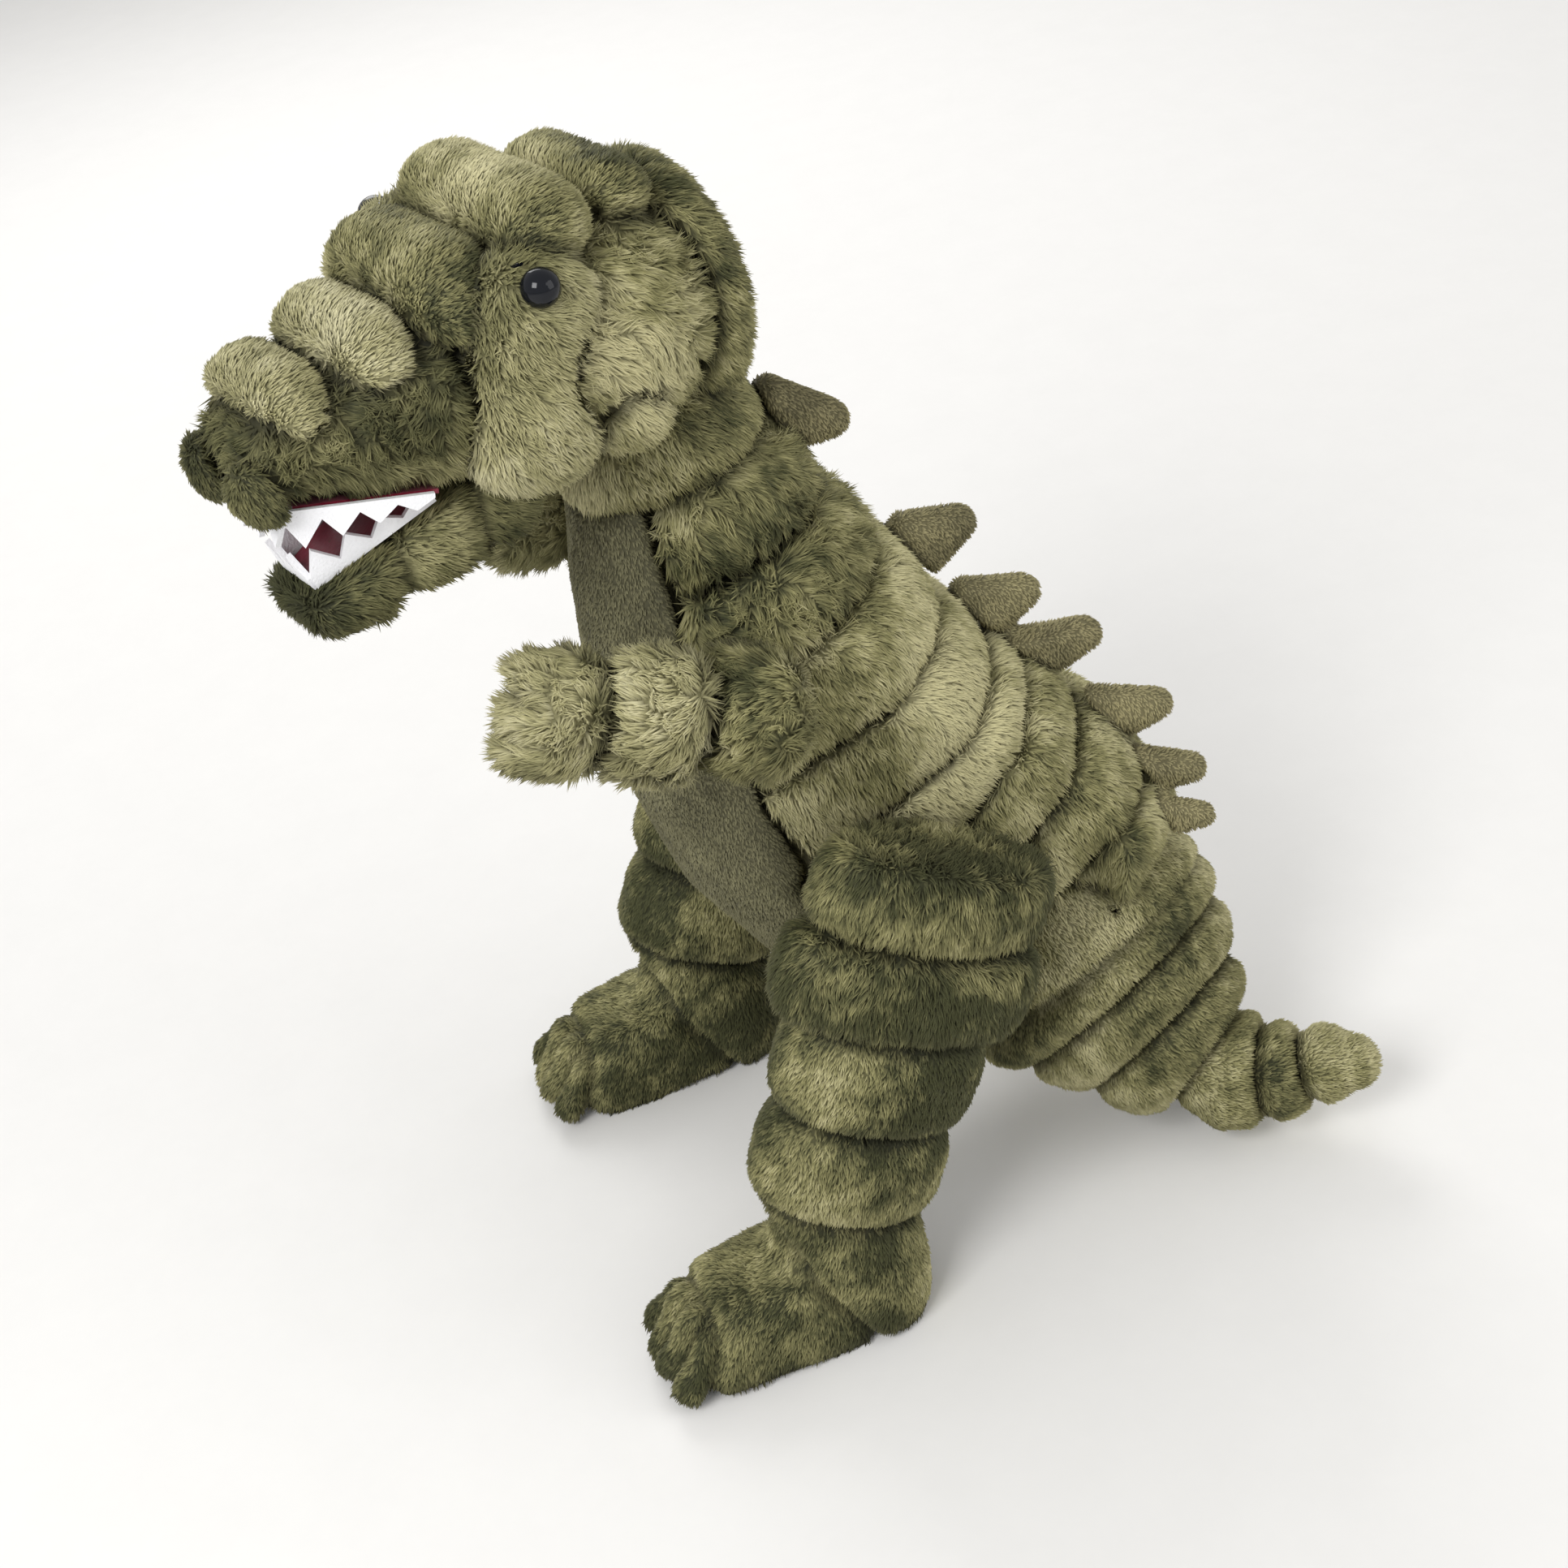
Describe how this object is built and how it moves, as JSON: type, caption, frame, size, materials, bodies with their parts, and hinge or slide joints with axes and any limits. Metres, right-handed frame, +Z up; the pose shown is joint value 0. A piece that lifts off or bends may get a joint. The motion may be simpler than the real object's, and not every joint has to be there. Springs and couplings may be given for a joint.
{
  "type": "stuffed dinosaur",
  "caption": "Soft olive dinosaur toy with ribbed padded bands, open toothed mouth, small arms, big feet and a tail it rests on.",
  "frame": {"origin": "on the ground under the middle of the toy's box", "axes": "+X to the toy's left, +Y to its back and +Z up"},
  "size_m": [0.188, 0.2851, 0.352],
  "materials": {
    "long_plush": "long soft mottled pile",
    "short_plush": "short soft mottled pile",
    "belly_velour": "smooth velour",
    "spike_velour": "short velour",
    "tooth_felt": "felt",
    "mouth_lining": "satin",
    "eye_plastic": "glossy",
    "washer_plastic": "matte",
    "stuffing": "loose fibre"
  },
  "bodies": {
    "torso": {"body_band_1": "long_plush", "body_band_2": "long_plush", "body_band_3": "long_plush", "body_band_4": "short_plush", "body_band_5": "short_plush", "body_band_6": "short_plush", "body_band_7": "short_plush", "body_band_8": "short_plush", "belly_panel": "belly_velour", "body_stuffing": "stuffing", "nape_spike": "spike_velour", "back_spikes": "spike_velour"},
    "head": {"skull_cover": "long_plush", "head_stuffing": "stuffing", "snout_cover": "long_plush", "nostril_left": "long_plush", "nostril_right": "long_plush", "snout_roll_front": "long_plush", "snout_roll_middle": "long_plush", "snout_roll_rear": "long_plush", "brow_roll": "long_plush", "crown_roll": "long_plush", "nape_band": "long_plush", "cheek_band_left": "long_plush", "cheek_band_right": "long_plush", "jowl_band_left": "long_plush", "jowl_band_right": "long_plush", "eye_left": "eye_plastic", "eye_right": "eye_plastic", "eye_washer_left": "washer_plastic", "eye_washer_right": "washer_plastic", "palate_lining": "mouth_lining", "upper_teeth": "tooth_felt"},
    "jaw": {"jaw_cover": "long_plush", "chin_puff": "long_plush", "mouth_floor_lining": "mouth_lining", "lower_teeth": "tooth_felt"},
    "arm_left": {"shoulder_puff_left": "long_plush", "forearm_puff_left": "long_plush", "hand_left": "long_plush"},
    "arm_right": {"shoulder_puff_right": "long_plush", "forearm_puff_right": "long_plush", "hand_right": "long_plush"},
    "leg_left": {"thigh_pad_upper_left": "short_plush", "thigh_pad_lower_left": "short_plush", "shin_band_upper_left": "short_plush", "shin_band_lower_left": "short_plush", "foot_left": "short_plush"},
    "leg_right": {"thigh_pad_upper_right": "short_plush", "thigh_pad_lower_right": "short_plush", "shin_band_upper_right": "short_plush", "shin_band_lower_right": "short_plush", "foot_right": "short_plush"},
    "tail": {"tail_band_1": "short_plush", "tail_band_2": "short_plush", "tail_band_3": "short_plush"},
    "tail_tip": {"tail_band_4": "short_plush", "tail_band_5": "short_plush", "tail_band_6": "short_plush"}
  },
  "joints": [
    {"name": "neck_nod", "type": "hinge", "parent": "torso", "child": "head", "pos_m": [0, -0.018, 0.256], "axis": [0.9563, 0.2924, 0], "range_deg": [-12, 10]},
    {"name": "jaw_open", "type": "hinge", "parent": "head", "child": "jaw", "pos_m": [0.01754, -0.07538, 0.27], "axis": [0.9563, 0.2924, 0], "range_deg": [-8, 10]},
    {"name": "shoulder_left", "type": "hinge", "parent": "torso", "child": "arm_left", "pos_m": [0.068, -0.016, 0.204], "axis": [-1, 0, 0], "range_deg": [-35, 50]},
    {"name": "shoulder_right", "type": "hinge", "parent": "torso", "child": "arm_right", "pos_m": [-0.068, -0.016, 0.204], "axis": [-1, 0, 0], "range_deg": [-35, 50]},
    {"name": "hip_left", "type": "hinge", "parent": "torso", "child": "leg_left", "pos_m": [0.071, 0.013, 0.131], "axis": [-1, 0, 0], "range_deg": [-8, 50]},
    {"name": "hip_right", "type": "hinge", "parent": "torso", "child": "leg_right", "pos_m": [-0.071, 0.013, 0.131], "axis": [-1, 0, 0], "range_deg": [-8, 50]},
    {"name": "tail_sway", "type": "hinge", "parent": "torso", "child": "tail", "pos_m": [0.02, 0.074, 0.063], "axis": [0, 0, 1], "range_deg": [-14, 14]},
    {"name": "tail_tip_sway", "type": "hinge", "parent": "tail", "child": "tail_tip", "pos_m": [0.054, 0.101, 0.025], "axis": [0, 0, 1], "range_deg": [-12, 12]}
  ]
}
